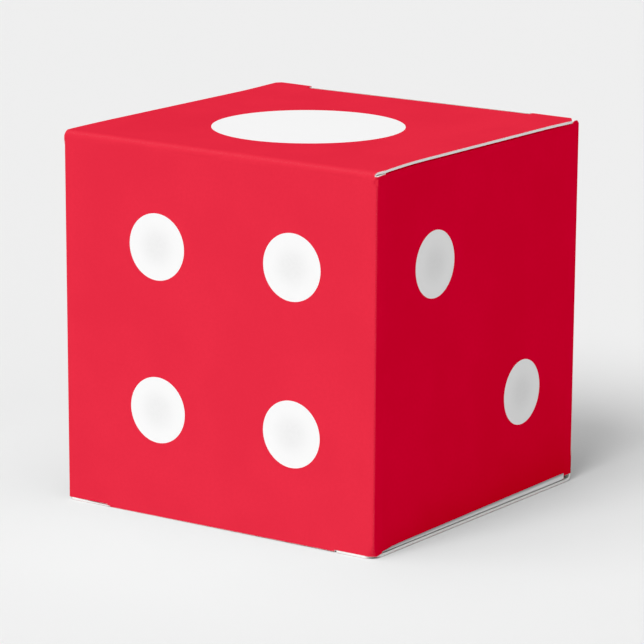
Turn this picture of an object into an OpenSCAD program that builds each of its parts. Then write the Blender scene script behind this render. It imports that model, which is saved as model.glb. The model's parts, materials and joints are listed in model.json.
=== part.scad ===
// Die-shaped favour box, folded from one printed paperboard blank.
// Four panels stand as a square tube. A lid closes each end: the top lid turns about the top
// edge of the front panel, the bottom lid about the bottom edge of the back panel. Each lid
// carries a tuck flap, and lies on two dust flaps that turn about the side panels.
// Origin: centre of the footprint, on the resting plane. +Z is up. The four-spot face looks
// towards -Y and the two-spot face towards +X.

/* [Box] */
// Outside width, across the four-spot face
box_w = 50.8; // [46:0.1:60]
// Outside depth, from the four-spot face to the back
box_d = 49.2; // [46:0.1:60]
// Outside height, over both lids
box_h = 51.5; // [46:0.1:60]
// Thickness of the paperboard
board = 0.38; // [0.34:0.02:0.48]
// Gap between two layers of board that lie on each other
layer_gap = 0.1; // [0.08:0.01:0.15]
// Gap between a crease and the flap that turns about it
crease_gap = 0.1; // [0.08:0.01:0.12]

/* [Lids] */
// Width of the ear at the left end of the top lid's tuck crease
top_ear_left = 6; // [4:0.1:8]
// Width of the ear at the right end of the top lid's tuck crease
top_ear_right = 7.6; // [4:0.1:8]
// Width of the ear at the left end of the bottom lid's tuck crease
bottom_ear_left = 7; // [4:0.1:8]
// Width of the ear at the right end of the bottom lid's tuck crease
bottom_ear_right = 6; // [4:0.1:8]
// Gap between a lid's tuck crease and the panel behind it
tuck_clearance = 0.12; // [0.1:0.01:0.3]
// Width of the slit at the inner side of each ear
slit_w = 0.2; // [0.15:0.05:0.4]
// Width cut off an ear's outer corner, beside the tube's corner post
ear_chamfer_w = 1.4; // [1.4:0.1:2]
// Length cut off an ear's outer corner along the lid's side edge
ear_chamfer_len = 2; // [2:0.1:3]

/* [Corner posts] */
// Width of a corner post across the front or back panel
post_w = 0.9; // [0.6:0.1:0.9]
// Length of a corner post along the side panel, from the outside of the tube
post_len = 1.2; // [0.8:0.1:1.2]
// Distance that a corner post's end stays short of the lid's outer face
post_drop = 0.25; // [0.2:0.05:0.4]

/* [Tuck flaps] */
// Length of a tuck flap, from its crease to its free edge
tuck_len = 12; // [9:0.5:13]
// Angle that a closed tuck flap leans inwards
tuck_lean = 12; // [12:1:18]
// Radius of a tuck flap's two free corners
tuck_corner_r = 8; // [4:0.5:8.5]
// Gap between a tuck flap's end and the inside of the tube
tuck_side_gap = 0.7; // [0.4:0.1:1.5]

/* [Dust flaps] */
// Length of a dust flap, from its crease to its free edge
dust_len = 19; // [14:0.5:21]
// Length of the 45 degree mitre beside the lid's crease
dust_mitre = 10; // [7:0.5:12]
// Distance from the inside of the tube to the mitre's start
dust_front_gap = 1; // [0.8:0.1:2]
// Distance from the outside of the tube to the straight edge beside the tuck flap
dust_rear_gap = 2.4; // [2.2:0.1:4]
// Radius of a dust flap's two free corners
dust_corner_r = 2; // [1:0.5:4]

/* [Glue seam] */
// Width of the glue flap inside the back panel
glue_flap_w = 10; // [8:0.5:13]
// Angle of the glue flap's two sloping ends
glue_flap_slope = 30; // [15:5:45]
// Thickness of the glue
glue_t = 0.05; // [0.05:0.01:0.08]
// Width of each bead of glue
glue_bead_w = 2.5; // [1.5:0.5:3]

/* [Spots] */
// Radius of a printed spot on the faces from two to six
spot_r = 4.55; // [3:0.05:5.5]
// Distance of the outer spots from the middle of their face, sideways
spot_pitch_x = 11; // [9:0.1:13]
// Distance of the outer spots from the middle of their face, upwards
spot_pitch_z = 11.2; // [9:0.1:13]
// The same upward distance on the two-spot face, which is printed a little closer
right_spot_pitch_z = 10.8; // [9:0.1:13]
// Sideways offset of the four spots from the middle of the front
front_spot_x = 1.2; // [-2:0.1:2]
// Upward offset of the four spots from the middle of the front
front_spot_z = 0.3; // [-1:0.1:1]
// Upward offset of the two spots from the middle of the right side
right_spot_z = 0.5; // [-1:0.1:1]
// Radius of the single spot on the top
top_spot_r = 13.1; // [8:0.1:16]
// Sideways offset of the single spot from the middle of the lid
top_spot_x = -0.4; // [-3:0.1:3]
// Front-to-back offset of the single spot from the middle of the lid
top_spot_y = -3.2; // [-5:0.1:5]
// Depth of a printed spot in the board's face
ink_t = 0.08; // [0.05:0.01:0.1]

/* [Hidden] */
$fn = 64;
cut = 1;                                        // how far a cutter runs past a face
crease_r = board / 2;                           // a crease is a half round, as thick as the board
flap_start = crease_r + crease_gap;             // from a crease's axis to the flap that turns about it
lid_crease = [-box_d / 2 + crease_r, box_h - crease_r];                    // y, z
tuck_crease = [box_d / 2 - board - tuck_clearance - crease_r, box_h - crease_r];
dust_crease = [box_w / 2 - crease_r, box_h - board - layer_gap - crease_r];  // x, z
top_ears = [top_ear_left, top_ear_right];
bottom_ears = [bottom_ear_left, bottom_ear_right];
tuck_w = box_w - 2 * (board + tuck_side_gap);
crease_relief = 0.8;                            // from a side panel's end to its crease's end
glue_flap_h = box_h - 2 * (board + layer_gap) - 2;
glue_top_gap = 2.5;                             // from a bead of glue to the flap's sloping end
red = [0.84, 0.08, 0.16];
white = [0.97, 0.97, 0.97];
glue_yellow = [0.93, 0.89, 0.76];

// Layouts of the spots, each counted across and up its face from the middle.
two = [[-1, 1], [1, -1]];
three = concat(two, [[0, 0]]);
four = [for (x = [-1, 1], y = [-1, 1]) [x, y]];
five = concat(four, [[0, 0]]);
six = [for (x = [-1, 1], y = [-1, 0, 1]) [x, y]];

function arc(centre, r, from, to) =
    [for (i = [0:8]) centre + r * [cos(from + (to - from) * i / 8), sin(from + (to - from) * i / 8)]];

// Turns a piece of the top end upside down about X, which makes it the same piece of the bottom end.
module reversed() translate([0, 0, box_h]) rotate([180, 0, 0]) children();

module on_front() translate([0, -box_d / 2, box_h / 2]) rotate([90, 0, 0]) children();
module on_right() translate([box_w / 2, 0, box_h / 2]) rotate([90, 0, 90]) children();
module on_back() translate([0, box_d / 2, box_h / 2]) rotate([90, 0, 180]) children();
module on_left() translate([-box_w / 2, 0, box_h / 2]) rotate([90, 0, 270]) children();
module on_top() translate([0, 0, box_h]) children();
module on_bottom() rotate([180, 0, 0]) children();

// Flat round spots let into a face. The face is the plane z = 0 and looks towards +Z.
module spots(layout, over = 0, pitch_z = spot_pitch_z)
    for (p = layout) translate([p.x * spot_pitch_x, p.y * pitch_z, -ink_t])
        cylinder(r = spot_r, h = ink_t + over);

module front_spot_discs(over = 0)
    on_front() translate([front_spot_x, front_spot_z, 0]) spots(four, over);
module right_spot_discs(over = 0)
    on_right() translate([0, right_spot_z, 0]) spots(two, over, right_spot_pitch_z);
module back_spot_discs(over = 0) on_back() spots(three, over);
module left_spot_discs(over = 0) on_left() spots(five, over);
module bottom_spot_discs(over = 0) on_bottom() spots(six, over);
module top_spot_disc(over = 0)
    on_top() translate([top_spot_x, top_spot_y, -ink_t]) cylinder(r = top_spot_r, h = ink_t + over);

// A panel with a lid crease along its top edge and rounded vertical creases at both sides.
// Its bottom edge is notched near both ends, where the other lid's ears lie. A low post is left
// at each corner.
module lid_panel(ears) {
    translate([board - box_w / 2, lid_crease[0], lid_crease[1]])
        rotate([0, 90, 0]) cylinder(r = crease_r, h = box_w - 2 * board);
    difference() {
        linear_extrude(box_h - crease_r) {
            translate([board - box_w / 2, -box_d / 2]) square([box_w - 2 * board, board]);
            for (side = [-1, 1]) intersection() {
                translate([side * (box_w / 2 - board), board - box_d / 2]) circle(r = board);
                translate([side * (box_w / 2 - board / 2) - board / 2, -box_d / 2]) square(board);
            }
        }
        mirror([1, 0, 0]) ear_notch(ears[0]);
        ear_notch(ears[1]);
    }
}

// What is cut off the right end of a lid panel's bottom edge, for an ear and below the corner post.
module ear_notch(ear) {
    translate([box_w / 2 - ear - slit_w, -box_d / 2 - cut, -cut])
        cube([ear + slit_w - post_w, board + 2 * cut, board + layer_gap + cut]);
    translate([box_w / 2 - post_w - cut, -box_d / 2 - cut, -cut])
        cube([post_w + 2 * cut, board + 2 * cut, post_drop + cut]);
}

// The right side panel, with a dust flap's crease along its top and bottom edges. It makes up the
// other side of the corner posts, at the rear of its top edge and the front of its bottom edge.
module side_panel() {
    length = box_d - 2 * board;
    for (z = [dust_crease[1], box_h - dust_crease[1]])
        translate([dust_crease[0], length / 2 - crease_relief, z])
            rotate([90, 0, 0]) cylinder(r = crease_r, h = length - 2 * crease_relief);
    translate([box_w / 2 - board, -length / 2, box_h - dust_crease[1]])
        cube([board, length, 2 * dust_crease[1] - box_h]);
    corner_post();
    reversed() corner_post();
}

module corner_post()
    translate([box_w / 2 - board, box_d / 2 - post_len, dust_crease[1]])
        cube([board, post_len - board, box_h - post_drop - dust_crease[1]]);

// The lid of the top end: a plate, the tuck crease along its rear edge and an ear at each end of it.
module lid_plate(ears) {
    front = lid_crease[0] + flap_start;
    rear = tuck_crease[0] - crease_r;
    slits = [for (side = [0, 1]) box_w / 2 - ears[side]];      // an ear's inner edge, from the middle
    crease_w = slits[0] + slits[1] - 2 * slit_w;
    translate([slit_w - slits[0], tuck_crease[0], tuck_crease[1]])
        rotate([0, 90, 0]) cylinder(r = crease_r, h = crease_w);
    translate([0, 0, box_h - board]) linear_extrude(board) {
        translate([slit_w - slits[0], rear]) square([crease_w, crease_r]);
        difference() {
            translate([-box_w / 2, front]) square([box_w, box_d / 2 - front]);
            translate([-slits[0], rear]) square([slits[0] + slits[1], box_d]);
            ear_chamfer();
            mirror([1, 0]) ear_chamfer();
        }
    }
}

// What is cut off the outer corner of the right ear.
module ear_chamfer()
    polygon([[box_w / 2 - ear_chamfer_w, box_d / 2], [box_w / 2 - ear_chamfer_w, box_d / 2 + cut],
             [box_w / 2 + cut, box_d / 2 + cut], [box_w / 2 + cut, box_d / 2 - ear_chamfer_len],
             [box_w / 2, box_d / 2 - ear_chamfer_len]]);

// Outline of a tuck flap, with its crease's axis along y = 0.
module tuck_outline(ears) {
    shoulder = flap_start + 0.3;
    translate([ears[0] + slit_w - box_w / 2, flap_start])
        square([box_w - ears[0] - ears[1] - 2 * slit_w, shoulder - flap_start]);
    translate([-tuck_w / 2, shoulder]) square([tuck_w, tuck_len - tuck_corner_r - shoulder]);
    intersection() {
        translate([-tuck_w / 2, tuck_len - tuck_corner_r]) square([tuck_w, tuck_corner_r]);
        union() {
            translate([tuck_corner_r - tuck_w / 2, 0]) square([tuck_w - 2 * tuck_corner_r, tuck_len]);
            for (side = [-1, 1])
                translate([side * (tuck_w / 2 - tuck_corner_r), tuck_len - tuck_corner_r])
                    circle(r = tuck_corner_r);
        }
    }
}

module tuck_flap(ears)
    translate([0, tuck_crease[0], tuck_crease[1]]) rotate([-90 - tuck_lean, 0, 0])
        translate([0, 0, -crease_r]) linear_extrude(board) tuck_outline(ears);

// Outline of the right dust flap, with its crease's axis along x = 0 and the flap towards -X.
module dust_outline() {
    front = -box_d / 2 + board + dust_front_gap;
    rear = box_d / 2 - dust_rear_gap;
    toe = front + dust_mitre + 1.5;
    r = dust_corner_r;
    polygon(concat(
        [[-flap_start, rear], [-flap_start, front], [-flap_start - dust_mitre, front + dust_mitre]],
        arc([r - dust_len, toe + r], r, 270, 180),
        arc([r - dust_len, rear - r], r, 180, 90)));
}

module dust_flap()
    translate([dust_crease[0], 0, dust_crease[1] - crease_r]) linear_extrude(board) dust_outline();

// A flap that folds in from the left panel's rear edge and lies on the inside of the back panel.
module glue_flap_outline(inset = 0) {
    drop = glue_flap_w * tan(glue_flap_slope);
    polygon([[inset, inset - glue_flap_h / 2], [glue_flap_w - inset, drop + inset - glue_flap_h / 2],
             [glue_flap_w - inset, glue_flap_h / 2 - drop - inset], [inset, glue_flap_h / 2 - inset]]);
}

module on_glue_seam(depth)
    translate([board - box_w / 2, box_d / 2 - board - depth, box_h / 2]) rotate([90, 0, 0]) children();

module front_panel() color(red) difference() {
    lid_panel(bottom_ears);
    front_spot_discs(cut);
}

module back_panel() color(red) difference() {
    reversed() lid_panel(top_ears);
    back_spot_discs(cut);
}

module right_panel() color(red) difference() {
    side_panel();
    right_spot_discs(cut);
}

module left_panel() color(red) difference() {
    mirror([1, 0, 0]) side_panel();
    left_spot_discs(cut);
}

module glue_flap() color(white) on_glue_seam(glue_t) linear_extrude(board) glue_flap_outline();

// Two upright beads of glue between the glue flap and the back panel.
module glue_line() color(glue_yellow) on_glue_seam(0) linear_extrude(glue_t) intersection() {
    glue_flap_outline(1);
    for (x = [1, glue_flap_w - 1 - glue_bead_w])
        translate([x, glue_top_gap - glue_flap_h / 2]) square([glue_bead_w, glue_flap_h - 2 * glue_top_gap]);
}

module front_spots() color(white) front_spot_discs();
module right_spots() color(white) right_spot_discs();
module back_spots() color(white) back_spot_discs();
module left_spots() color(white) left_spot_discs();

module top_lid() color(red) difference() {
    lid_plate(top_ears);
    top_spot_disc(cut);
}

module top_spot() color(white) top_spot_disc();
module top_tuck_flap() color(white) tuck_flap(top_ears);
module top_dust_flap_right() color(white) dust_flap();
module top_dust_flap_left() color(white) mirror([1, 0, 0]) dust_flap();

module bottom_lid() color(red) difference() {
    reversed() lid_plate(bottom_ears);
    bottom_spot_discs(cut);
}

module bottom_spots() color(white) bottom_spot_discs();
module bottom_tuck_flap() color(white) reversed() tuck_flap(bottom_ears);
module bottom_dust_flap_right() color(white) reversed() dust_flap();
module bottom_dust_flap_left() color(white) reversed() mirror([1, 0, 0]) dust_flap();

front_panel();
right_panel();
back_panel();
left_panel();
glue_flap();
glue_line();
front_spots();
right_spots();
back_spots();
left_spots();
top_lid();
top_spot();
top_tuck_flap();
top_dust_flap_right();
top_dust_flap_left();
bottom_lid();
bottom_spots();
bottom_tuck_flap();
bottom_dust_flap_right();
bottom_dust_flap_left();
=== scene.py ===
"""Looks of a die-shaped paperboard favour box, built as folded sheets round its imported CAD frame."""
import json
import math

import bmesh
import bpy
import numpy as np
from mathutils import Matrix, Vector
from mathutils.geometry import delaunay_2d_cdt


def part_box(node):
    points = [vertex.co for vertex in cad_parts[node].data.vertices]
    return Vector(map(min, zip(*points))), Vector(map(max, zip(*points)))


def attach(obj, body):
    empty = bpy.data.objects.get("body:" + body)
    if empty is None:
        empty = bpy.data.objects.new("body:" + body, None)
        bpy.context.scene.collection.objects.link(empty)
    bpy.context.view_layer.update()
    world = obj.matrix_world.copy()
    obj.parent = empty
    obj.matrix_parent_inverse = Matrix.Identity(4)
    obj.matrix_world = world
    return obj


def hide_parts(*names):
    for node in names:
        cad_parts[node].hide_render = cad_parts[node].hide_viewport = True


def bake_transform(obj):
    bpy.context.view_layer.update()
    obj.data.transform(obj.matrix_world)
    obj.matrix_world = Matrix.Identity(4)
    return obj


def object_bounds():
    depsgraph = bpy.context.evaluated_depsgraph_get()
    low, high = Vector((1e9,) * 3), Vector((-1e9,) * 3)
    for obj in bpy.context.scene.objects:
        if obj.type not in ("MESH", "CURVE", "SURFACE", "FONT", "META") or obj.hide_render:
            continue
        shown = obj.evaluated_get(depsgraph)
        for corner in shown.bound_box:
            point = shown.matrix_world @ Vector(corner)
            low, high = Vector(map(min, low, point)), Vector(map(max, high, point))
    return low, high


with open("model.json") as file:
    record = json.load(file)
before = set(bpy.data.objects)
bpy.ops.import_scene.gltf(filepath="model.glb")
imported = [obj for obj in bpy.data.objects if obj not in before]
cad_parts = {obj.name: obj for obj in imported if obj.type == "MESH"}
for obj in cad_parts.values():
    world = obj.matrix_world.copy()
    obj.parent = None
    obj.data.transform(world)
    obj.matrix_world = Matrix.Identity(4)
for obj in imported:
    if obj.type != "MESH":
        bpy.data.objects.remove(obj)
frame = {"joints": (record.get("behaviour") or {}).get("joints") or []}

cad_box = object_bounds()

# --- Sizes in millimetres, read off the frame -------------------------------------------------
# Metres in a millimetre
MM = 0.001


def node_box(node):
    """Lowest and highest corner of a CAD node, in millimetres."""
    return [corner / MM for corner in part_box(node)]


AXIS_AT = {joint["name"]: Vector(joint["pos_m"]) / MM for joint in frame["joints"]}
WIDTH, DEPTH, HEIGHT = 2 * cad_box[1].x / MM, 2 * cad_box[1].y / MM, cad_box[1].z / MM
dust_low, dust_high = node_box("top_dust_flap_right")
TUCK_HALF_WIDTH = node_box("top_tuck_flap")[1].x
GLUE_FACE_Y = node_box("glue_flap")[1].y
BOARD = dust_high.z - dust_low.z
CREASE_R = BOARD / 2
# Where the outer faces on the two sides of each top crease would meet, if it were folded sharp.
# The dust flaps' fold is drawn a little nearer the lid than the joint has it.
DUST_FOLD_LIFT = 0.06
DUST_FOLD_Z = AXIS_AT["top_dust_right_crease"].z + CREASE_R + DUST_FOLD_LIFT
TUCK_FOLD_Y = AXIS_AT["top_tuck_crease"].y + CREASE_R

# --- Sizes in millimetres that only the looks have --------------------------------------------
# Outer bend radius of a lid's, tuck flap's and dust flap's crease, and of an upright corner
LID_BEND_R = 0.8
TUCK_BEND_R = 0.56
DUST_BEND_R = 0.32
CORNER_R = 0.3
# The front right corner opens out to this radius at the floor, over this length
CORNER_END_R = 1.1
CORNER_END_LEN = 2.2
# Share by which the box is wider at the top than at the floor
LEAN = 0.0055
# The top sags towards the lid's crease: by this much at its left and right end, over this depth and height
LID_SAG = (0.10, 0.40)
SAG_DEPTH = 11.0
SAG_HEIGHT = 8.0
# How far the sheets swell outwards in the middle: the bottom lid is a little hollow
CREASED_PANEL_SWELL = 0.12
SIDE_PANEL_SWELL = 0.1
LID_SWELL = {"top": 0.1, "bottom": -0.03}
# A piece's seam with its neighbour lies on flat board, this far from the crease's sharp line
CORNER_SEAM = 2.0
LID_SEAM = 1.15
TUCK_SEAM = 1.2
DUST_SEAM = 1.1
# A dust flap's seams with the corners beside it run this far past its fold
SEAM_RISE = 0.02

# Widths of the left and right ear of each lid: the slits are not quite even
EAR_W = {"top": (6.0, 7.6), "bottom": (7.0, 6.0)}
SLIT_W = 0.2
# The cut on an ear's outer corner, across and along the lid, on the left and on the right
EAR_CHAMFER = ((0.6, 0.7), (1.3, 1.9))
# How far the left and right ear of each lid stand out of the lid's plane, away from the tube. The rise
# starts this far before the lid's end, and this far from its middle line.
EAR_RISE = {"top": (0.15, -0.1), "bottom": (0.05, 0.05)}
EAR_RISE_LEN = 9
EAR_RISE_FROM = 12
# How far a lid's sides lie inside the box's, and the left and right end of its crease
LID_SIDE_INSET = 0.03
LID_CREASE_INSET = {"top": (0.06, 0.4), "bottom": (0.06, 0.06)}
# How far past its fold a lid reaches its full width
LID_SHOULDER = 2.0

# A lid's ears lie in notches of the panel at its free end, this deep on the left and on the right
EAR_NOTCH = {"top": (0.39, 0.39), "bottom": (0.10, 0.26)}
# How far short of the box's end that panel stops between the ears, at the left and at the right
FOOT_GAP = {"top": (0.03, 0.03), "bottom": (-0.05, 0.05)}
# The tube's corners are low posts beside the ears, this far short of the box's end
POST_DROP = {"top": 0.15, "bottom": 0.22}
# How much lower a post is at the corner's line than at its top, and how far past that line its top
# starts, its top ends, and the cut after it reaches the dust flap's seam
POST_SHAPE = {"top": (0.6, 0.6, 1.45, 1.9), "bottom": (0.05, 0.5, 0.8, 2.0)}
# How far below the dust flaps' fold a corner is cut off beside the lid's crease, and how far that
# cut's end slants
CORNER_DROP = {"top": 0.08, "bottom": 0.57}
CORNER_SLANT = 0.12

# A tuck flap leans inwards by this many degrees
TUCK_LEAN = 12
TUCK_LENGTH = 12.0
TUCK_CORNER_R = 8.0
TUCK_SHOULDER = 0.65
DUST_MITRE = 10.0
DUST_CORNER_R = 2.0
# How far past its fold a dust flap reaches its full width, at the front and at the rear
DUST_SHOULDER = (0.55, 0.8)
# Slope of the glue flap's ends, in degrees
GLUE_FLAP_SLOPE = 30
BEAD_W = 2.5
BEAD_END_GAP = 2.2
BEAD_CORNER_R = 1.1

# Print runs this far past the start of a dust flap's crease, at its front and rear end in the top's frame,
# and further by up to BLEED_FLARE beside the crease's ends
BLEED = {"top": (0.85, 0.85), "bottom": (-0.70, -0.17)}
BLEED_FLARE = 0.35
BLEED_FLARE_LEN = 1.1
# Print runs this far past a tuck flap's fold
TUCK_BLEED = 1.6

# Spots on the sides and the bottom, and the thickness of their print
SPOT_R = 4.55
INK_DEPTH = 0.04
# Bevel of a cut edge, and width of the worn rim beside it
BEVEL = 0.035
RIM = 0.2

# --- Steps and gaps of the meshes, in millimetres ---------------------------------------------
GRID = 2.0
# Rows of points on each side of a bend's middle, as shares of its radius
BEND_ROWS = (0, 0.22, 0.44, 0.66, 0.88, 1.1, 1.3)
CORNER_ROWS = (0, 0.25, 0.5, 0.75, 1)
# More rows out to the wider radius of the corner that opens out
OPENING_ROWS = (0.25, 0.6, 1)
# Heights of extra grid lines at a panel's end with the ears
END_LINES = [0.3, 0.8, 1.4]
ARC_STEP = math.radians(11)
# Least distances: between points on an outline, from a grid line to a bend's rows, and from a grid
# point to the worn rim and to a spot
OUTLINE_GAP = 0.03
ROW_GAP = 0.3
RIM_GAP = 0.05
SPOT_GAP = 0.3
# Faces at a smaller angle than this are shaded as one surface
SMOOTH_ANGLE = math.radians(35)

# --- Folding ----------------------------------------------------------------------------------


class Profile:
    """The outer face's line across a crease: straight runs that meet at points, bent round a radius.

    Arc length q is counted along the sharp line, from origin_q at its first point. The outer side
    is to the right of the line, and it bends to the left.
    """

    def __init__(self, points, radii, origin_q=0.0):
        self.points = [Vector(p) for p in points]
        self.radii = radii
        self.knots = [origin_q]
        for a, b in zip(self.points, self.points[1:]):
            self.knots.append(self.knots[-1] + (b - a).length)

    def bends(self):
        return list(zip(self.knots[1:-1], self.radii))

    def heading(self, run):
        return (self.points[run + 1] - self.points[run]).normalized()

    def at(self, q, a):
        """The line at arc length q, and at place a along the crease.

        Gives the point, the outward normal, and how far into a bend it is, from 0 to 1.
        """
        for i, radius in enumerate(self.radii, start=1):
            before, after = self.heading(i - 1), self.heading(i)
            turn = -before.angle_signed(after)
            r = radius(a) if callable(radius) else radius
            tangent = r * math.tan(turn / 2)
            along = q - self.knots[i]
            if abs(along) < tangent:
                share = (along + tangent) / (2 * tangent)
                centre = self.points[i] - before * tangent + Vector((-before.y, before.x)) * r
                angle = math.atan2(before.y, before.x) - math.pi / 2 + turn * share
                normal = Vector((math.cos(angle), math.sin(angle)))
                return centre + normal * r, normal, 1 - abs(along) / tangent
        run = sum(q > knot for knot in self.knots[1:-1])
        d = self.heading(run)
        return self.points[run] + d * (q - self.knots[run]), Vector((d.y, -d.x)), 0.0


def evenly(low, high, step=GRID):
    """Places from low to high, about a step apart."""
    count = max(1, round((high - low) / step))
    return [low + (high - low) * i / count for i in range(count + 1)]


def bend_lines(profile):
    """Places across each bend, closer together towards its middle."""
    found = []
    for knot, radius in profile.bends():
        if callable(radius):
            offsets = [CORNER_R * s for s in CORNER_ROWS]
            offsets += [CORNER_R + (CORNER_END_R - CORNER_R) * s for s in OPENING_ROWS]
        else:
            offsets = [radius * s for s in BEND_ROWS]
        found += [knot + side * offset for offset in offsets for side in (-1, 1)]
    return sorted(set(round(q, 4) for q in found))


def rounded_outline(corners):
    """Closed outline from (q, a, corner radius, kind).

    kind is that of the edge that leaves the corner: cut, or a seam with the next piece.
    """
    points = []
    count = len(corners)
    for i, (q, a, radius, kind) in enumerate(corners):
        here = Vector((q, a))
        if radius == 0:
            points.append((here, kind))
            continue
        before = (Vector(corners[i - 1][:2]) - here).normalized()
        after = (Vector(corners[(i + 1) % count][:2]) - here).normalized()
        half = before.angle(after) / 2
        reach = radius / math.tan(half)
        centre = here + (before + after).normalized() * radius / math.sin(half)
        start, end = here + before * reach - centre, here + after * reach - centre
        sweep = -start.angle_signed(end)
        steps = max(3, round(abs(sweep) / ARC_STEP))
        for k in range(steps + 1):
            turned = Matrix.Rotation(sweep * k / steps, 2) @ start
            points.append((centre + turned, "cut" if k < steps else kind))
    return points


def divided(points, q_lines, a_lines):
    """The outline with a point wherever it crosses a grid line."""
    made = []
    for i, (start, kind) in enumerate(points):
        end = points[(i + 1) % len(points)][0]
        shares = [0.0]
        for axis, grid in ((0, q_lines), (1, a_lines)):
            extent = end[axis] - start[axis]
            if abs(extent) > 1e-9:
                shares += [(line - start[axis]) / extent for line in grid]
        length = (end - start).length
        last = -1.0
        for share in sorted(shares):
            if 0 <= share < 1 - OUTLINE_GAP / length and share - last > OUTLINE_GAP / length:
                made.append((start.lerp(end, share), kind))
                last = share
    return made


def inset(points, distance):
    """The outline moved inwards along its cut edges, and left where it is along its seams."""
    moved = []
    area = sum(p.x * points[(i + 1) % len(points)][0].y - points[(i + 1) % len(points)][0].x * p.y
               for i, (p, _) in enumerate(points))
    inwards = 1 if area > 0 else -1
    for i, (point, kind) in enumerate(points):
        previous, previous_kind = points[i - 1]
        d1 = (point - previous).normalized()
        d2 = (points[(i + 1) % len(points)][0] - point).normalized()
        n1, n2 = Vector((-d1.y, d1.x)) * inwards, Vector((-d2.y, d2.x)) * inwards
        m1 = distance if previous_kind == "cut" else 0.0
        m2 = distance if kind == "cut" else 0.0
        cross = n1.x * n2.y - n1.y * n2.x
        if abs(cross) < 0.02:
            shift = n1 * (m1 + m2) / 2
        else:
            shift = Vector((m1 * n2.y - m2 * n1.y, m2 * n1.x - m1 * n2.x)) / cross
        moved.append(point + shift)
    return moved


def inside(loop, points):
    """Which points lie inside a closed loop, and how far each is from its line."""
    a = np.array(loop, float)
    b = np.roll(a, -1, axis=0)
    p = np.array(points, float)
    crossing = (a[None, :, 1] > p[:, None, 1]) != (b[None, :, 1] > p[:, None, 1])
    rise = np.where(b[:, 1] == a[:, 1], 1e-12, b[:, 1] - a[:, 1])
    at = a[:, 0] + (p[:, None, 1] - a[:, 1]) * (b[:, 0] - a[:, 0]) / rise
    within = (crossing & (p[:, None, 0] < at)).sum(axis=1) % 2 == 1
    d = b - a
    share = ((p[:, None] - a) * d).sum(axis=2) / np.maximum((d * d).sum(axis=1), 1e-12)
    nearest = a + np.clip(share, 0, 1)[..., None] * d
    return within, np.sqrt(((p[:, None] - nearest) ** 2).sum(axis=2)).min(axis=1)


def circle(centre, radius):
    """A spot's outline, with more points on the large one."""
    count = 64 if radius < 8 else 144
    turns = [2 * math.pi * i / count for i in range(count)]
    return [Vector((centre[0] + radius * math.cos(t), centre[1] + radius * math.sin(t))) for t in turns]


# --- Board meshes -----------------------------------------------------------------------------


class Builder:
    """Collects the faces of one piece, each with its material, map and vertex attributes."""

    def __init__(self, place, printed):
        self.bm = bmesh.new()
        self.place = place
        self.printed = printed
        self.verts = {}
        self.map = self.bm.loops.layers.uv.new("board")
        self.spot_map = self.bm.loops.layers.uv.new("spot")
        self.layers = {name: self.bm.verts.layers.float.new(name) for name in ("print", "fold", "rim")}

    def vertex(self, at, depth, rim=0.0):
        key = (round(at[0], 5), round(at[1], 5), round(depth, 4))
        if key not in self.verts:
            position, fold = self.place(at[0], at[1], depth)
            vertex = self.bm.verts.new(position * MM)
            vertex[self.layers["fold"]] = fold
            vertex[self.layers["print"]] = self.printed(at[0], at[1])
            vertex[self.layers["rim"]] = rim
            self.verts[key] = vertex
        return self.verts[key]

    def face(self, verts, maps, material, spot=None):
        if len(set(verts)) < 3:
            return
        made = self.bm.faces.new(verts)
        made.material_index = material
        made.smooth = True
        for loop, at in zip(made.loops, maps):
            loop[self.map].uv = at
            if spot is not None:
                centre, radius = spot
                loop[self.spot_map].uv = ((at[0] - centre[0]) / radius, (at[1] - centre[1]) / radius)

    def finish(self, name, materials):
        bmesh.ops.recalc_face_normals(self.bm, faces=self.bm.faces)
        flat = [f for f in self.bm.faces if len(f.verts) == 3]
        bmesh.ops.join_triangles(self.bm, faces=flat, cmp_seam=False, cmp_sharp=False, cmp_uvs=True,
                                 cmp_vcols=False, cmp_materials=True,
                                 angle_face_threshold=math.radians(20),
                                 angle_shape_threshold=math.radians(70))
        mesh = bpy.data.meshes.new(name)
        self.bm.to_mesh(mesh)
        self.bm.free()
        for material in materials:
            mesh.materials.append(material)
        mesh.set_sharp_from_angle(angle=SMOOTH_ANGLE)
        made = bpy.data.objects.new(name, mesh)
        bpy.context.scene.collection.objects.link(made)
        return made


# Material slots of a sheet
OUTER, INNER, EDGE = range(3)


def sag(p):
    """How far the top has sunk at a place on the closed box."""
    left, right = LID_SAG
    near = min(max(1 - (p.y + DEPTH / 2) / SAG_DEPTH, 0), 1)
    high = min(max(1 - (HEIGHT - p.z) / SAG_HEIGHT, 0), 1)
    return (left + (right - left) * (p.x / WIDTH + 0.5)) * near ** 2 * high ** 2


def flat_mesh(rim_loop, worn_loop, circles, grid):
    """Points and faces of the flat sheet, and which of the rim's points each point is, if any."""
    within, gap = inside(worn_loop, grid)
    kept = within & (gap > RIM_GAP)
    for ring in circles:
        kept &= inside(ring, grid)[1] > SPOT_GAP
    loops = [rim_loop, worn_loop, *circles]
    coordinates = [Vector(p) for loop in loops for p in loop] + [Vector(p) for p in grid[kept]]
    edges, first = [], 0
    for loop in loops:
        edges += [(first + i, first + (i + 1) % len(loop)) for i in range(len(loop))]
        first += len(loop)
    points, _, faces, sources, _, _ = delaunay_2d_cdt(coordinates, edges, [], 1, 1e-5)
    return points, faces, [[s for s in source if s < len(rim_loop)] for source in sources]


def spots_of(points, faces, spots):
    """The number of the spot that each face lies in, or -1."""
    middles = np.array([[sum(points[i].x for i in f) / len(f), sum(points[i].y for i in f) / len(f)]
                        for f in faces])
    owner = np.full(len(faces), -1)
    for k, (centre, radius) in enumerate(spots):
        owner[np.hypot(*(middles - np.array(centre)).T) < radius] = k
    return owner


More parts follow.
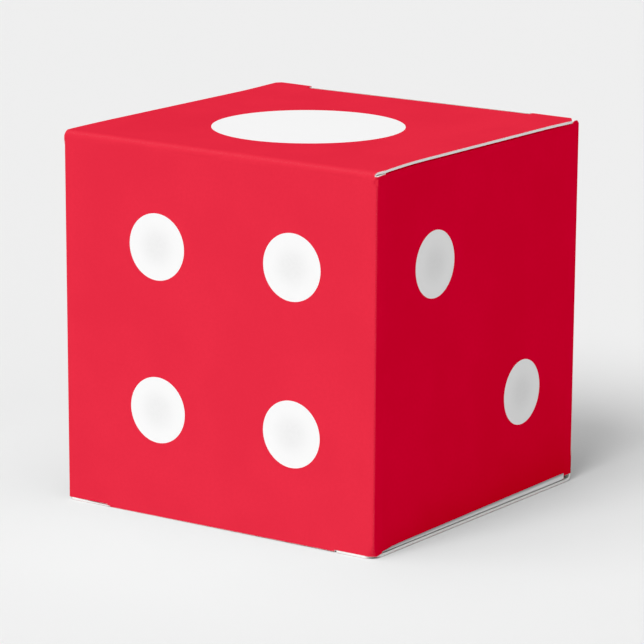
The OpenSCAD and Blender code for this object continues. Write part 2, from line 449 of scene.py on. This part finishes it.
def add_walls(board, outline, rim_loop, rims, thickness, bevel):
    """The sheet's narrow sides, from the outer face to the inner one: a bevel, the wall and a bevel."""
    full_loop = [point for point, _ in outline]
    levels = ((rim_loop, 0.0), (full_loop, bevel), (full_loop, thickness - bevel), (rim_loop, thickness))
    travelled = 0.0
    for i, (start, kind) in enumerate(outline):
        j = (i + 1) % len(outline)
        step = (full_loop[j] - start).length
        wall = EDGE if kind == "cut" else OUTER
        for upper, lower in zip(levels, levels[1:]):
            quad = [board.vertex(loop[k], depth, rims[k])
                    for (loop, depth), k in ((upper, i), (upper, j), (lower, j), (lower, i))]
            maps = [(travelled, upper[1]), (travelled + step, upper[1]),
                    (travelled + step, lower[1]), (travelled, lower[1])]
            board.face(quad, maps, OUTER if upper is levels[0] else wall)
        travelled += step


def cut_board(name, corners, profile, to_world, *, a_lines, spots=(), spot_name=None, spot_material=None,
              printed=lambda q, a: 1.0, bow=lambda q, a: 0.0, thickness=BOARD, materials=None):
    """One piece of folded board, and the round spots let into its outer face as a second piece."""
    q_low, q_high = min(c[0] for c in corners), max(c[0] for c in corners)
    bends = bend_lines(profile)
    flat = [q for q in evenly(q_low, q_high) if all(abs(q - b) > ROW_GAP for b in bends)]
    q_lines = sorted(set(flat + [b for b in bends if q_low < b < q_high]))

    def place(q, a, depth):
        point, normal, fold = profile.at(q, a)
        point = point + normal * (bow(q, a) - depth)
        made = to_world(point.x, point.y, a)
        spread = 1 + LEAN * made.z / HEIGHT
        return Vector((made.x * spread, made.y * spread, made.z - sag(made))), fold

    bevel = min(BEVEL, thickness / 4)
    outline = divided(rounded_outline(corners), q_lines, a_lines)
    rims = [1.0 if "cut" in (kind, outline[i - 1][1]) else 0.0 for i, (_, kind) in enumerate(outline)]
    rim_loop = inset(outline, bevel)
    circles = [circle(*spot) for spot in spots]
    grid = np.array([(q, a) for q in q_lines for a in a_lines])
    points, faces, on_rim = flat_mesh(rim_loop, inset(outline, RIM), circles, grid)

    board = Builder(place, printed)
    disc = Builder(place, printed) if spots else None
    for f, spot in zip(faces, spots_of(points, faces, spots)):
        at = [points[i] for i in f]
        rim = [rims[min(on_rim[i])] if on_rim[i] else 0.0 for i in f]
        depth = INK_DEPTH if spot >= 0 else 0.0
        board.face([board.vertex(p, depth, r) for p, r in zip(at, rim)], at, OUTER)
        board.face([board.vertex(p, thickness, r) for p, r in zip(at, rim)][::-1], at[::-1], INNER)
        if spot >= 0:
            disc.face([disc.vertex(p, 0.0) for p in at], at, OUTER, spots[spot])
            disc.face([disc.vertex(p, INK_DEPTH) for p in at][::-1], at[::-1], OUTER, spots[spot])
    for spot, ring in zip(spots, circles):
        for i, start in enumerate(ring):
            end = ring[(i + 1) % len(ring)]
            wall = ((start, 0.0), (end, 0.0), (end, INK_DEPTH), (start, INK_DEPTH))
            for part in (board, disc):
                part.face([part.vertex(p, depth) for p, depth in wall], [p for p, _ in wall], OUTER, spot)
    add_walls(board, outline, rim_loop, rims, thickness, bevel)
    made = board.finish(name, materials or [coated, plain, core])
    discs = disc.finish(spot_name, [spot_material]) if spots else None
    return made, discs


# --- Materials --------------------------------------------------------------------------------


class Shader:
    """A node material, its Principled shader, and a short way to add nodes."""

    def __init__(self, name, **settings):
        self.material = bpy.data.materials.new(name)
        self.material.use_nodes = True
        self.tree = self.material.node_tree
        self.surface = self.tree.nodes["Principled BSDF"]
        for socket, value in settings.items():
            self.surface.inputs[socket.replace("_", " ")].default_value = value

    def add(self, kind, *wires, out=0, **settings):
        """Adds a node: wires are (input, value or socket) pairs, settings are the node's own."""
        node = self.tree.nodes.new("ShaderNode" + kind)
        for key, value in settings.items():
            setattr(node, key, value)
        for socket, value in wires:
            self.wire(node.inputs[socket], value)
        return node.outputs[out]

    def wire(self, socket, value):
        if isinstance(value, bpy.types.NodeSocket):
            self.tree.links.new(value, socket)
        else:
            socket.default_value = value

    def set(self, **wires):
        for socket, value in wires.items():
            self.wire(self.surface.inputs[socket.replace("_", " ")], value)

    def uv(self, name="board"):
        return self.add("UVMap", uv_map=name)

    def attribute(self, name):
        return self.add("Attribute", attribute_type="GEOMETRY", attribute_name=name, out=2)

    def math(self, operation, a, b):
        return self.add("Math", (0, a), (1, b), operation=operation)

    def noise(self, scale, stretch=(1, 1), turn=0.0, detail=3.0, roughness=0.55):
        """Noise over the flat board, at scale per millimetre."""
        at = self.add("Mapping", ("Vector", self.uv()), ("Rotation", (0, 0, turn)),
                      ("Scale", (stretch[0], stretch[1], 1)))
        return self.add("TexNoise", ("Vector", at), ("Scale", scale), ("Detail", detail),
                        ("Roughness", roughness), noise_dimensions="2D")

    def span(self, value, low, high, to_low=0.0, to_high=1.0):
        """value taken from low to high, smoothly, and turned into to_low to to_high."""
        return self.add("MapRange", ("Value", value), ("From Min", low), ("From Max", high),
                        ("To Min", to_low), ("To Max", to_high), interpolation_type="SMOOTHSTEP")

    def mix(self, share, a, b):
        return self.add("Mix", ("Factor", share), (6, a), (7, b), out=2, data_type="RGBA")

    def bump(self, height, distance, below=None):
        """Relief of a height from 0 to 1 over so many millimetres."""
        wires = [("Height", height), ("Distance", distance * MM), ("Strength", 1.0)]
        if below:
            wires.append(("Normal", below))
        return self.add("Bump", *wires)

    def grey_bounce(self, brightness):
        """Light that bounces off it onto other things stays neutral."""
        grey = self.add("BsdfDiffuse", ("Color", (brightness, brightness, brightness, 1)))
        bounced = self.add("LightPath", out=2)
        mixed = self.add("MixShader", (0, bounced), (1, self.surface.outputs[0]), (2, grey))
        self.tree.links.new(mixed, self.tree.nodes["Material Output"].inputs["Surface"])


def shade(colour, factor):
    return tuple(c * factor for c in colour[:3]) + (1.0,)


PRINT_RED = (0.785, 0.0715, 0.100, 1.0)
COATED_WHITE = (0.91, 0.91, 0.91, 1.0)
BOARD_WHITE = (0.80, 0.795, 0.775, 1.0)
CORE_WHITE = (0.93, 0.925, 0.91, 1.0)
SPOT_CENTRE = (0.83, 0.83, 0.83, 1.0)


def fibre_relief(shader, depth):
    """Fine felt of paper fibres under a coating: short strands two ways, and a softer unevenness."""
    along = shader.noise(5.0, stretch=(1, 3.2), turn=0.35)
    across = shader.noise(4.2, stretch=(2.8, 1), turn=-0.25)
    strands = shader.math("ADD", shader.math("MULTIPLY", along, 0.5), shader.math("MULTIPLY", across, 0.5))
    fine = shader.bump(strands, depth)
    return shader.bump(shader.noise(0.55, detail=2), depth * 2.5, below=fine)


def coated_board():
    """The outer face: red print over white coated board, painted a little darker along folds as shade,
    cracked a little at folds and rubbed at rims.

    Bare board is painted greyer towards the print's edge, as a tight fold shades it.
    """
    s = Shader("printed_board", Roughness=0.5, Specular_IOR_Level=0.0)
    drift, grain = s.noise(0.09, detail=2), s.noise(2.2)
    speck = s.noise(7.0, detail=4, roughness=0.7)
    red = s.mix(s.span(drift, 0.3, 0.7), shade(PRINT_RED, 0.985), shade(PRINT_RED, 1.015))
    red = s.mix(s.span(grain, 0.25, 0.75, 0.0, 0.35), red, shade(PRINT_RED, 0.95))
    # Painted shade: the print is darkened towards the middle of each fold, to dim the light that the bends
    # catch.
    red = s.mix(s.span(s.attribute("fold"), 0.0, 0.8), red, shade(PRINT_RED, 0.93))
    edge = s.math("ADD", s.attribute("print"), s.math("MULTIPLY", s.math("SUBTRACT", grain, 0.5), 0.10))
    printed = s.span(edge, -0.03, 0.03)
    cracks = s.math("MULTIPLY", s.span(s.attribute("fold"), 0.35, 1.0), s.span(speck, 0.52, 0.68))
    rubbed = s.math("MULTIPLY", s.span(s.attribute("rim"), 0.55, 1.0), s.span(speck, 0.42, 0.62))
    worn = s.math("MAXIMUM", s.math("MULTIPLY", cracks, 0.06), s.math("MULTIPLY", rubbed, 0.55))
    bare = s.mix(s.span(s.attribute("print"), -0.55, 0.05), COATED_WHITE, shade(COATED_WHITE, 0.42))
    colour = s.mix(printed, bare, s.mix(worn, red, COATED_WHITE))
    s.set(Base_Color=colour, Roughness=s.span(grain, 0.2, 0.8, 0.46, 0.56), Normal=fibre_relief(s, 0.0022))
    s.grey_bounce(0.43)
    return s.material


def plain_board():
    """The bare inner face: off-white, matt and fibrous."""
    s = Shader("plain_board", Roughness=0.85, Specular_IOR_Level=0.25)
    strands = s.noise(3.0, stretch=(1, 4.5), turn=0.3, detail=5, roughness=0.65)
    cloud = s.noise(0.25, detail=3)
    colour = s.mix(s.span(strands, 0.3, 0.7), shade(BOARD_WHITE, 0.955), BOARD_WHITE)
    colour = s.mix(s.span(cloud, 0.35, 0.7, 0.0, 0.5), colour, (0.765, 0.755, 0.725, 1))
    flecks = s.span(s.noise(6.5, stretch=(1, 2.2), turn=0.9, detail=1), 0.72, 0.80, 0.0, 0.35)
    colour = s.mix(flecks, colour, (0.60, 0.57, 0.51, 1))
    s.set(Base_Color=colour, Normal=fibre_relief(s, 0.006))
    return s.material


def board_core():
    """The cut edge: pressed layers of white fibre, with the coating as a brighter line on both faces."""
    s = Shader("board_core", Roughness=0.8, Specular_IOR_Level=0.2)
    layers = s.noise(9.0, stretch=(0.12, 1.6), detail=3)
    tufts = s.noise(5.0, stretch=(1.0, 0.4), detail=4, roughness=0.7)
    colour = s.mix(s.span(layers, 0.3, 0.7), shade(CORE_WHITE, 0.93), CORE_WHITE)
    colour = s.mix(s.span(tufts, 0.55, 0.8, 0.0, 0.3), colour, shade(CORE_WHITE, 0.86))
    s.set(Base_Color=colour, Normal=s.bump(layers, 0.008, below=s.bump(tufts, 0.010)))
    return s.material


def spot_print(name, centre_colour, rim_colour):
    """A white spot, printed with a soft grey middle on the die's side faces."""
    s = Shader(name, Roughness=0.5, Specular_IOR_Level=0.0)
    grain = s.noise(2.2)
    from_centre = s.add("VectorMath", (0, s.uv("spot")), operation="LENGTH", out=1)
    colour = s.mix(s.span(from_centre, 0.12, 0.82), centre_colour, rim_colour)
    colour = s.mix(s.span(grain, 0.25, 0.75, 0.0, 0.3), colour, shade(COATED_WHITE, 0.985))
    s.set(Base_Color=colour, Roughness=s.span(grain, 0.2, 0.8, 0.46, 0.56), Normal=fibre_relief(s, 0.0022))
    return s.material


def dried_glue():
    """White glue, dried to a cloudy yellow film."""
    s = Shader("glue", Roughness=0.35, Specular_IOR_Level=0.5)
    cloud = s.noise(1.2, detail=4)
    s.set(Base_Color=s.mix(s.span(cloud, 0.3, 0.7), (0.72, 0.66, 0.50, 1), (0.82, 0.78, 0.64, 1)),
          Roughness=s.span(cloud, 0.3, 0.7, 0.28, 0.45), Normal=s.bump(cloud, 0.02))
    return s.material


coated = coated_board()
plain = plain_board()
core = board_core()
side_spot = spot_print("printed_spot", SPOT_CENTRE, COATED_WHITE)
lid_spot = spot_print("printed_lid_spot", COATED_WHITE, COATED_WHITE)
glue = dried_glue()


# --- The box ----------------------------------------------------------------------------------


def upright(x, y, z):
    return Vector((x, y, z))


def same_end(place):
    return place


def reversed_end(place):
    """The same piece at the bottom end, which is the top end turned half round about X."""
    def turned(*at):
        p = place(*at)
        return Vector((p.x, -p.y, HEIGHT - p.z))
    return turned


def bulge(q_span, a_span, height):
    """A panel's slight swell, which fades out at its edges."""
    def at(q, a):
        u = (q - q_span[0]) / (q_span[1] - q_span[0])
        v = (a - a_span[0]) / (a_span[1] - a_span[0])
        if not (0 < u < 1 and 0 < v < 1):
            return 0.0
        return height * (math.sin(math.pi * u) * math.sin(math.pi * v)) ** 2
    return at


def both_halves(right, left, first, last):
    """A closed outline from two halves that run the same way; first and last are the kinds of the
    edges that join them at their starts and at their ends."""
    made = right[:-1] + [right[-1][:3] + (last,)]
    for j in range(len(left) - 1, -1, -1):
        made.append(left[j][:3] + (left[j - 1][3] if j else first,))
    return made


def spot_centres(node, axis, layout):
    """Spots of a side face as ((across, height), radius), from the CAD spots' own box."""
    low, high = node_box(node)
    middle = ((low[axis] + high[axis]) / 2, (low.z + high.z) / 2)
    pitch = ((high[axis] - low[axis]) / 2 - SPOT_R, (high.z - low.z) / 2 - SPOT_R)
    return [((middle[0] + u * pitch[0], middle[1] + v * pitch[1]), SPOT_R) for u, v in layout]


TWO = [(-1, 1), (1, -1)]
THREE = [(1, 1), (0, 0), (-1, -1)]
FOUR = [(u, v) for u in (-1, 1) for v in (-1, 1)]

CORNER_TOP = {end: DUST_FOLD_Z - drop for end, drop in CORNER_DROP.items()}
SEAM_TOP = DUST_FOLD_Z + SEAM_RISE
SIDE_Y = DEPTH / 2 - CORNER_SEAM
REAR_LEFT_Y = GLUE_FACE_Y - CORNER_SEAM
TUBE_LINES = evenly(0, HEIGHT)


def opening_corner(z):
    """Bend radius at a height of the front right corner, which opens out towards the floor."""
    share = max(0.0, 1 - z / CORNER_END_LEN)
    return CORNER_R + (CORNER_END_R - CORNER_R) * share * share * (3 - 2 * share)


def slit_x(end, side):
    """Half width of a tuck flap's crease on one side: the inner edge of the slit beside the ear."""
    return WIDTH / 2 - EAR_W[end][side > 0] - SLIT_W


def crease_x(end, side):
    """Half width of a lid's crease on one side."""
    return WIDTH / 2 - LID_CREASE_INSET[end][side > 0]


def creased_panel(name, place, end, spots, spot_name):
    """The front panel, or the back panel turned upside down: it holds the creases at both its sides.

    end is the end whose ears lie in its notches. The lid of the other end turns on its crease.
    """
    is_front = end == "bottom"
    head = "top" if is_front else "bottom"
    w, d = WIDTH / 2, DEPTH / 2
    seam_q = w + CORNER_SEAM
    profile = Profile([(-w, CORNER_SEAM - d), (-w, -d), (w, -d), (w, CORNER_SEAM - d)],
                      [CORNER_R, opening_corner if is_front else CORNER_R], -seam_q)
    drop, corner_top = POST_DROP[end], CORNER_TOP[head]
    slope, top_start, top_end, foot = POST_SHAPE[end]
    folded = [(w, drop + slope, 0.2, "cut"), (w + top_start, drop, 0.15, "cut"),
              (w + top_end, drop, 0.2, "cut"), (w + foot, HEIGHT - SEAM_TOP, 0, "cut"),
              (seam_q, HEIGHT - SEAM_TOP + 0.01, 0, "seam"), (seam_q, SEAM_TOP, 0, "cut"),
              (seam_q - CORNER_SLANT, corner_top, 0.05, "cut")]
    halves = []
    # The back panel's left side is a raw edge over the glue flap, and ends just inside the box's side
    raw_side = w - 0.04
    for side, bent in ((1, True), (-1, is_front)):
        slit, strip, notch = slit_x(end, side), crease_x(head, side), EAR_NOTCH[end][side > 0]
        half = [(slit, FOOT_GAP[end][side > 0], 0, "cut"), (slit, notch, 0, "cut")]
        half += folded if bent else [(raw_side, notch, 0, "cut"), (raw_side, corner_top, 0, "cut")]
        half += [(strip, corner_top, 0, "seam"), (strip, HEIGHT - LID_SEAM, 0, "seam")]
        halves.append([(side * q, a, r, kind) for q, a, r, kind in half])
    return cut_board(name, both_halves(*halves, "cut", "seam"), profile, place,
                     a_lines=sorted(TUBE_LINES + END_LINES), spots=spots, spot_name=spot_name,
                     spot_material=side_spot,
                     bow=bulge((2 - w, w - 2), (2, HEIGHT - 2), CREASED_PANEL_SWELL))


def side_panel(name, side, y_low, y_high, spots, spot_name):
    """The flat of the right panel (side 1) or the left one (side -1), between its four seams."""
    x = side * WIDTH / 2
    start, end = (y_low, y_high) if side > 0 else (y_high, y_low)
    profile = Profile([(x, start), (x, end)], [], side * start)
    z_low = HEIGHT - DUST_FOLD_Z + DUST_SEAM
    z_high = DUST_FOLD_Z - DUST_SEAM
    q_low, q_high = sorted((side * y_low, side * y_high))
    corners = [(q_low, z_low, 0, "seam"), (q_high, z_low, 0, "seam"),
               (q_high, z_high, 0, "seam"), (q_low, z_high, 0, "seam")]
    swell = bulge((q_low + 1, q_high - 1), (z_low + 1, z_high - 1), SIDE_PANEL_SWELL)
    return cut_board(name, corners, profile, upright, a_lines=TUBE_LINES, spots=spots, spot_name=spot_name,
                     spot_material=side_spot, bow=swell)


def lid(name, place, end, spots, spot_name, spot_material):
    """A lid with the crease that it turns on, up to the seam with its tuck flap, and its two ears."""
    w, d = WIDTH / 2, DEPTH / 2
    profile = Profile([(HEIGHT - LID_SEAM, -d), (HEIGHT, -d), (HEIGHT, d)], [LID_BEND_R])

    def from_front(y):
        return LID_SEAM + d + y

    tuck_seam = from_front(TUCK_FOLD_Y - TUCK_SEAM)
    slit_end = from_front(TUCK_FOLD_Y - BOARD)
    halves = []
    for side in (1, -1):
        across, along = EAR_CHAMFER[side > 0]
        slit, strip, edge = slit_x(end, side), crease_x(end, side), w - LID_SIDE_INSET
        half = [(0, strip, 0, "seam"), (LID_SEAM + CORNER_TOP[end] - HEIGHT, strip, 0, "cut"),
                (LID_SEAM - 0.1, strip - 0.05, 0.5, "cut"), (LID_SEAM + LID_SHOULDER, edge, 1.5, "cut"),
                (from_front(d - along), edge, 0.5, "cut"), (from_front(d), w - across, 0.3, "cut"),
                (from_front(d), slit + SLIT_W, 0.25, "cut"), (slit_end, slit + SLIT_W, 0, "cut"),
                (slit_end, slit, 0, "seam"), (tuck_seam, slit, 0, "seam")]
        halves.append([(q, side * a, r, kind) for q, a, r, kind in half])
    return cut_board(name, both_halves(*halves, "seam", "seam"), profile, place,
                     a_lines=evenly(-w, w), spots=[((from_front(y), x), r) for x, y, r in spots],
                     spot_name=spot_name, spot_material=spot_material,
                     bow=bulge((LID_SEAM + 1, from_front(d - 2)), (1 - w, w - 1), LID_SWELL[end]))


def tuck_flap(name, place, end):
    """A tuck flap with the crease that it turns on."""
    lean = math.radians(90 + TUCK_LEAN)
    to_foot = CREASE_R * math.tan(lean / 2)
    flat_end = TUCK_SEAM + to_foot + TUCK_LENGTH
    fold = Vector((TUCK_FOLD_Y, -HEIGHT))
    tip = fold + Vector((math.cos(lean), math.sin(lean))) * (flat_end - TUCK_SEAM)
    profile = Profile([(TUCK_FOLD_Y - TUCK_SEAM, -HEIGHT), fold, tip], [TUCK_BEND_R])
    shoulder = TUCK_SEAM + to_foot + TUCK_SHOULDER
    halves = []
    for side in (1, -1):
        slit = slit_x(end, side)
        half = [(0, slit, 0, "seam"), (TUCK_SEAM - BOARD, slit, 0, "cut"), (shoulder, slit, 0.2, "cut"),
                (shoulder, TUCK_HALF_WIDTH, 0.5, "cut"),
                (flat_end, TUCK_HALF_WIDTH, TUCK_CORNER_R, "cut")]
        halves.append([(q, side * a, r, kind) for q, a, r, kind in half])
    return cut_board(name, both_halves(*halves, "seam", "cut"), profile, place,
                     a_lines=evenly(-TUCK_HALF_WIDTH, TUCK_HALF_WIDTH),
                     printed=lambda q, a: TUCK_SEAM + TUCK_BLEED - q)


def dust_flap(name, place, end, strip):
    """A dust flap with the crease that it turns on; strip is where that crease starts and ends along Y."""
    profile = Profile([(DUST_FOLD_Z - DUST_SEAM, -WIDTH / 2), (DUST_FOLD_Z, -WIDTH / 2),
                       (DUST_FOLD_Z, -dust_low.x)], [DUST_BEND_R])
    free_q = profile.knots[-1]
    front, rear = dust_low.y, dust_high.y
    strip_top = DUST_SEAM + SEAM_TOP - DUST_FOLD_Z
    mitre_end = DUST_SEAM + 0.5 + DUST_MITRE
    corners = [(0, strip[0], 0, "seam"), (strip_top, strip[0], 0, "cut"),
               (DUST_SEAM + DUST_SHOULDER[0], front, 0.3, "cut"),
               (mitre_end, front + DUST_MITRE, 1.0, "cut"),
               (free_q, front + DUST_MITRE + 1.5, DUST_CORNER_R, "cut"),
               (free_q, rear, DUST_CORNER_R, "cut"), (DUST_SEAM + DUST_SHOULDER[1], rear, 0.5, "cut"),
               (strip_top, strip[1], 0, "seam"), (0, strip[1], 0, "seam")]

    def printed(q, a):
        near_end = math.exp((a - strip[1]) / BLEED_FLARE_LEN)
        if end == "top":
            near_end += math.exp((strip[0] - a) / BLEED_FLARE_LEN)
        share = (a - strip[0]) / (strip[1] - strip[0])
        bleed = BLEED[end][0] * (1 - share) + BLEED[end][1] * share
        return DUST_SEAM - DUST_BEND_R + bleed + BLEED_FLARE * near_end - q

    return cut_board(name, corners, profile, place, a_lines=evenly(front, rear), printed=printed)


def glue_flap(name):
    """The glue flap inside the back panel, with the rear left corner that it folds round."""
    w = WIDTH / 2
    low, high = node_box("glue_flap")
    profile = Profile([(high.x, GLUE_FACE_Y), (-w, GLUE_FACE_Y), (-w, REAR_LEFT_Y)], [CORNER_R])
    flap_w = high.x - low.x
    drop = flap_w * math.tan(math.radians(GLUE_FLAP_SLOPE))
    corner_q = high.x + w
    seam_q = corner_q + CORNER_SEAM
    post_top = HEIGHT - POST_DROP["top"]
    corners = [(0, low.z + drop, 0.8, "cut"), (flap_w, low.z, 0, "cut"),
               (corner_q - 0.2, HEIGHT - CORNER_TOP["bottom"], 0.2, "cut"),
               (seam_q, HEIGHT - SEAM_TOP, 0, "seam"), (seam_q, SEAM_TOP - 0.1, 0, "cut"),
               (corner_q + 0.6, post_top, 0.3, "cut"), (corner_q - 0.1, post_top, 0.2, "cut"),
               (flap_w, high.z, 0, "cut"), (0, high.z - drop, 0.8, "cut")]
    return cut_board(name, corners, profile, upright, a_lines=TUBE_LINES,
                     printed=lambda q, a: q - corner_q + BLEED["top"][0])


def glue_line(name):
    """Two beads of glue, squeezed flat between the glue flap and the back panel."""
    low, high = node_box("glue_line")
    flap_low = node_box("glue_flap")[0]
    beads = []
    for start in (low.x, high.x - BEAD_W):
        end = start + BEAD_W
        reach = (end - flap_low.x) * math.tan(math.radians(GLUE_FLAP_SLOPE)) + BEAD_END_GAP
        bottom, top = flap_low.z + reach, HEIGHT - flap_low.z - reach
        corners = [(q, z, BEAD_CORNER_R, "cut")
                   for q, z in ((start, bottom), (end, bottom), (end, top), (start, top))]

        def squeezed(x, y, z, start=start):
            middle = start + BEAD_W / 2
            waver = 1 + 0.10 * math.sin(0.9 * z + start) + 0.06 * math.sin(2.3 * z)
            return Vector((middle + (x - middle) * waver, y, z))

        profile = Profile([(low.x, low.y), (high.x, low.y)], [], low.x)
        bead, _ = cut_board(f"{name}_{len(beads)}", corners, profile, squeezed,
                            a_lines=evenly(bottom, top, 1), thickness=high.y - low.y,
                            materials=[glue, glue, glue])
        beads.append(bead)
    return beads


right_spots = spot_centres("right_spots", 1, TWO)
front_spots = spot_centres("front_spots", 0, FOUR)
back_spots = [((x, HEIGHT - z), r) for (x, z), r in spot_centres("back_spots", 0, THREE)]
left_spots = [((-y, z), r) for (y, z), r in spot_centres("left_spots", 1, FOUR + [(0, 0)])]


def keep(made, names, body, slots, blend=None):
    """Fixes a piece and its spots to their body, in place of the CAD nodes that are named, and hides those
    nodes.

    blend is (body before the bend, body after it, where the bend starts, where it ends). When it is given,
    the piece itself is baked in place and fixed to no body, and only its spots are fixed to the body.
    """
    for piece, node, slot in zip(made, names, slots):
        if piece is None:
            continue
        if blend and piece is made[0]:
            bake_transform(piece)
        else:
            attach(piece, body)
        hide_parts(node)


BOARD_SLOTS = ("printed_board", "printed_spot")

keep(creased_panel("front_panel_board", upright, "bottom", front_spots, "front_spots_print"),
     ("front_panel", "front_spots"), "tube", BOARD_SLOTS)
keep(creased_panel("back_panel_board", reversed_end(upright), "top", back_spots, "back_spots_print"),
     ("back_panel", "back_spots"), "tube", BOARD_SLOTS)
keep(side_panel("right_panel_board", 1, -SIDE_Y, SIDE_Y, right_spots, "right_spots_print"),
     ("right_panel", "right_spots"), "tube", BOARD_SLOTS)
keep(side_panel("left_panel_board", -1, -SIDE_Y, REAR_LEFT_Y, left_spots, "left_spots_print"),
     ("left_panel", "left_spots"), "tube", BOARD_SLOTS)
keep(glue_flap("glue_flap_board"), ("glue_flap",), "tube", ("plain_board",))

beads = glue_line("glue_bead")
for bead in beads:
    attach(bead, "tube")
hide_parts("glue_line")


def lid_place(end):
    """A lid's place, with its ears bent a little out of its plane."""
    def place(p, r, a):
        u = min(max((r - DEPTH / 2 + EAR_RISE_LEN) / EAR_RISE_LEN, 0.0), 1.0)
        v = min(max((abs(a) - EAR_RISE_FROM) / (WIDTH / 2 - EAR_RISE_FROM), 0.0), 1.0)
        rise = EAR_RISE[end][a > 0] * (u * v) ** 2 * (3 - 2 * u * v)
        return Vector((a, r, p + rise))
    return place


def tuck_place(p, r, a):
    return Vector((a, p, -r))


def dust_place(side):
    def place(p, r, a):
        return Vector((-side * r, a, p))
    return place


top_low, top_high = node_box("top_spot")
bottom_low, bottom_high = node_box("bottom_spots")
top_r = (top_high.x - top_low.x) / 2
top_spots = [((top_low.x + top_high.x) / 2, (top_low.y + top_high.y) / 2, top_r)]
row = (bottom_high.y - bottom_low.y) / 2 - SPOT_R
bottom_spots = [(u * row, v * row, SPOT_R) for u in (-1, 1) for v in (-1, 0, 1)]

for end, turn, spots, spot_node, spot_material in (
        ("top", same_end, top_spots, "top_spot", lid_spot),
        ("bottom", reversed_end, bottom_spots, "bottom_spots", side_spot)):
    lid_body, tuck_body = f"{end}_lid", f"{end}_tuck"
    front = -DEPTH / 2
    at = turn(upright)
    keep(lid(f"{end}_lid_board", turn(lid_place(end)), end, spots, f"{spot_node}_print", spot_material),
         (f"{end}_lid", spot_node), lid_body, BOARD_SLOTS,
         ("tube", lid_body, at(0, front, HEIGHT - LID_BEND_R), at(0, front + LID_BEND_R, HEIGHT)))
    keep(tuck_flap(f"{end}_tuck_flap_board", turn(tuck_place), end),
         (f"{end}_tuck_flap",), tuck_body, ("plain_board",),
         (lid_body, tuck_body, at(0, TUCK_FOLD_Y - TUCK_BEND_R, HEIGHT),
          at(0, TUCK_FOLD_Y, HEIGHT - TUCK_BEND_R)))
    for side, word in ((1, "right"), (-1, "left")):
        rear = SIDE_Y if side > 0 else REAR_LEFT_Y
        strip = (-SIDE_Y, rear) if end == "top" else (-rear, SIDE_Y)
        x = side * WIDTH / 2
        dust_body = f"{end}_dust_{word}"
        keep(dust_flap(f"{end}_dust_flap_{word}_board", turn(dust_place(side)), end, strip),
             (f"{end}_dust_flap_{word}",), dust_body, ("plain_board",),
             ("tube", dust_body, at(x, 0, DUST_FOLD_Z - DUST_BEND_R),
              at(x - side * DUST_BEND_R, 0, DUST_FOLD_Z)))

# --- Stage, light and camera ------------------------------------------------------------------


def floor():
    """A wide pale floor that can be seen through from below, open under the middle of the box."""
    s = Shader("floor", Roughness=0.9, Specular_IOR_Level=0.0)
    tone = s.add("TexNoise", ("Scale", 3.0), ("Detail", 2.0))
    s.set(Base_Color=s.mix(tone, (0.858, 0.858, 0.858, 1), (0.862, 0.862, 0.862, 1)))
    clear = s.add("BsdfTransparent")
    surface = s.add("MixShader", (0, s.add("NewGeometry", out=6)), (1, s.surface.outputs[0]), (2, clear))
    s.tree.links.new(surface, s.tree.nodes["Material Output"].inputs["Surface"])
    mesh = bpy.data.meshes.new("floor")
    # Half size, gap under the box and overlap with its underside's rim, in metres
    size, drop, margin = 6.0, 0.00006, 0.001
    w, d = WIDTH * MM / 2 - margin, DEPTH * MM / 2 - margin
    corners = [(sx * x, sy * y, -drop) for x, y in ((w, d), (size, size))
               for sx, sy in ((-1, -1), (1, -1), (1, 1), (-1, 1))]
    mesh.from_pydata(corners, [], [(4 + i, 4 + (i + 1) % 4, (i + 1) % 4, i) for i in range(4)])
    mesh.materials.append(s.material)
    made = bpy.data.objects.new("floor", mesh)
    bpy.context.scene.collection.objects.link(made)


def towards(azimuth, elevation):
    """Unit vector to a place round the object: azimuth 0 is -Y, 90 is +X."""
    a, e = math.radians(azimuth), math.radians(elevation)
    return Vector((math.sin(a) * math.cos(e), -math.cos(a) * math.cos(e), math.sin(e)))


def sun(name, azimuth, elevation, strength, spread):
    """A distant lamp that looks spread degrees wide from the box."""
    light = bpy.data.lights.new(name, "SUN")
    light.energy = strength
    light.angle = math.radians(spread)
    made = bpy.data.objects.new(name, light)
    made.rotation_mode = "QUATERNION"
    made.rotation_quaternion = towards(azimuth, elevation).to_track_quat("Z", "Y")
    bpy.context.scene.collection.objects.link(made)


def surroundings(strength):
    """Even white light from all round."""
    world = bpy.data.worlds.new("studio")
    world.use_nodes = True
    world.node_tree.nodes["Background"].inputs["Color"].default_value = (1, 1, 1, 1)
    world.node_tree.nodes["Background"].inputs["Strength"].default_value = strength
    bpy.context.scene.world = world


def camera(azimuth, elevation, roll, distance, aim_right, aim_up, focal_length):
    """A camera that looks at the object's base from an angle, moved sideways and up by the aim.

    Angles are in degrees, lengths in millimetres.
    """
    data = bpy.data.cameras.new("camera")
    data.sensor_width = 36
    data.lens = focal_length
    data.clip_start, data.clip_end = 0.01, 100
    made = bpy.data.objects.new("camera", data)
    back = towards(azimuth, elevation)
    right = Vector((math.cos(math.radians(azimuth)), math.sin(math.radians(azimuth)), 0))
    up = back.cross(right)
    c, s = math.cos(math.radians(roll)), math.sin(math.radians(roll))
    rolled_right, rolled_up = right * c + up * s, up * c - right * s
    rotation = Matrix((rolled_right, rolled_up, back)).transposed().to_4x4()
    place = (back * distance + rolled_right * aim_right + rolled_up * aim_up) * MM
    made.matrix_world = Matrix.Translation(place) @ rotation
    bpy.context.scene.collection.objects.link(made)
    bpy.context.scene.camera = made


floor()
surroundings(0.24)
sun("key", 2, 47, 1.72, 32)
sun("overhead", 0, 89, 0.68, 60)
sun("left", -42, 48, 0.50, 50)
sun("right_fill", 75, 20, 0.32, 60)
camera(azimuth=35.049, elevation=12.791, roll=0.317, distance=517.02, aim_right=-0.069, aim_up=23.234,
       focal_length=207.6596)
view = bpy.context.scene.view_settings
view.view_transform = "Standard"
view.use_curve_mapping = True
view.curve_mapping.black_level = (0.05, 0.05, 0.05)
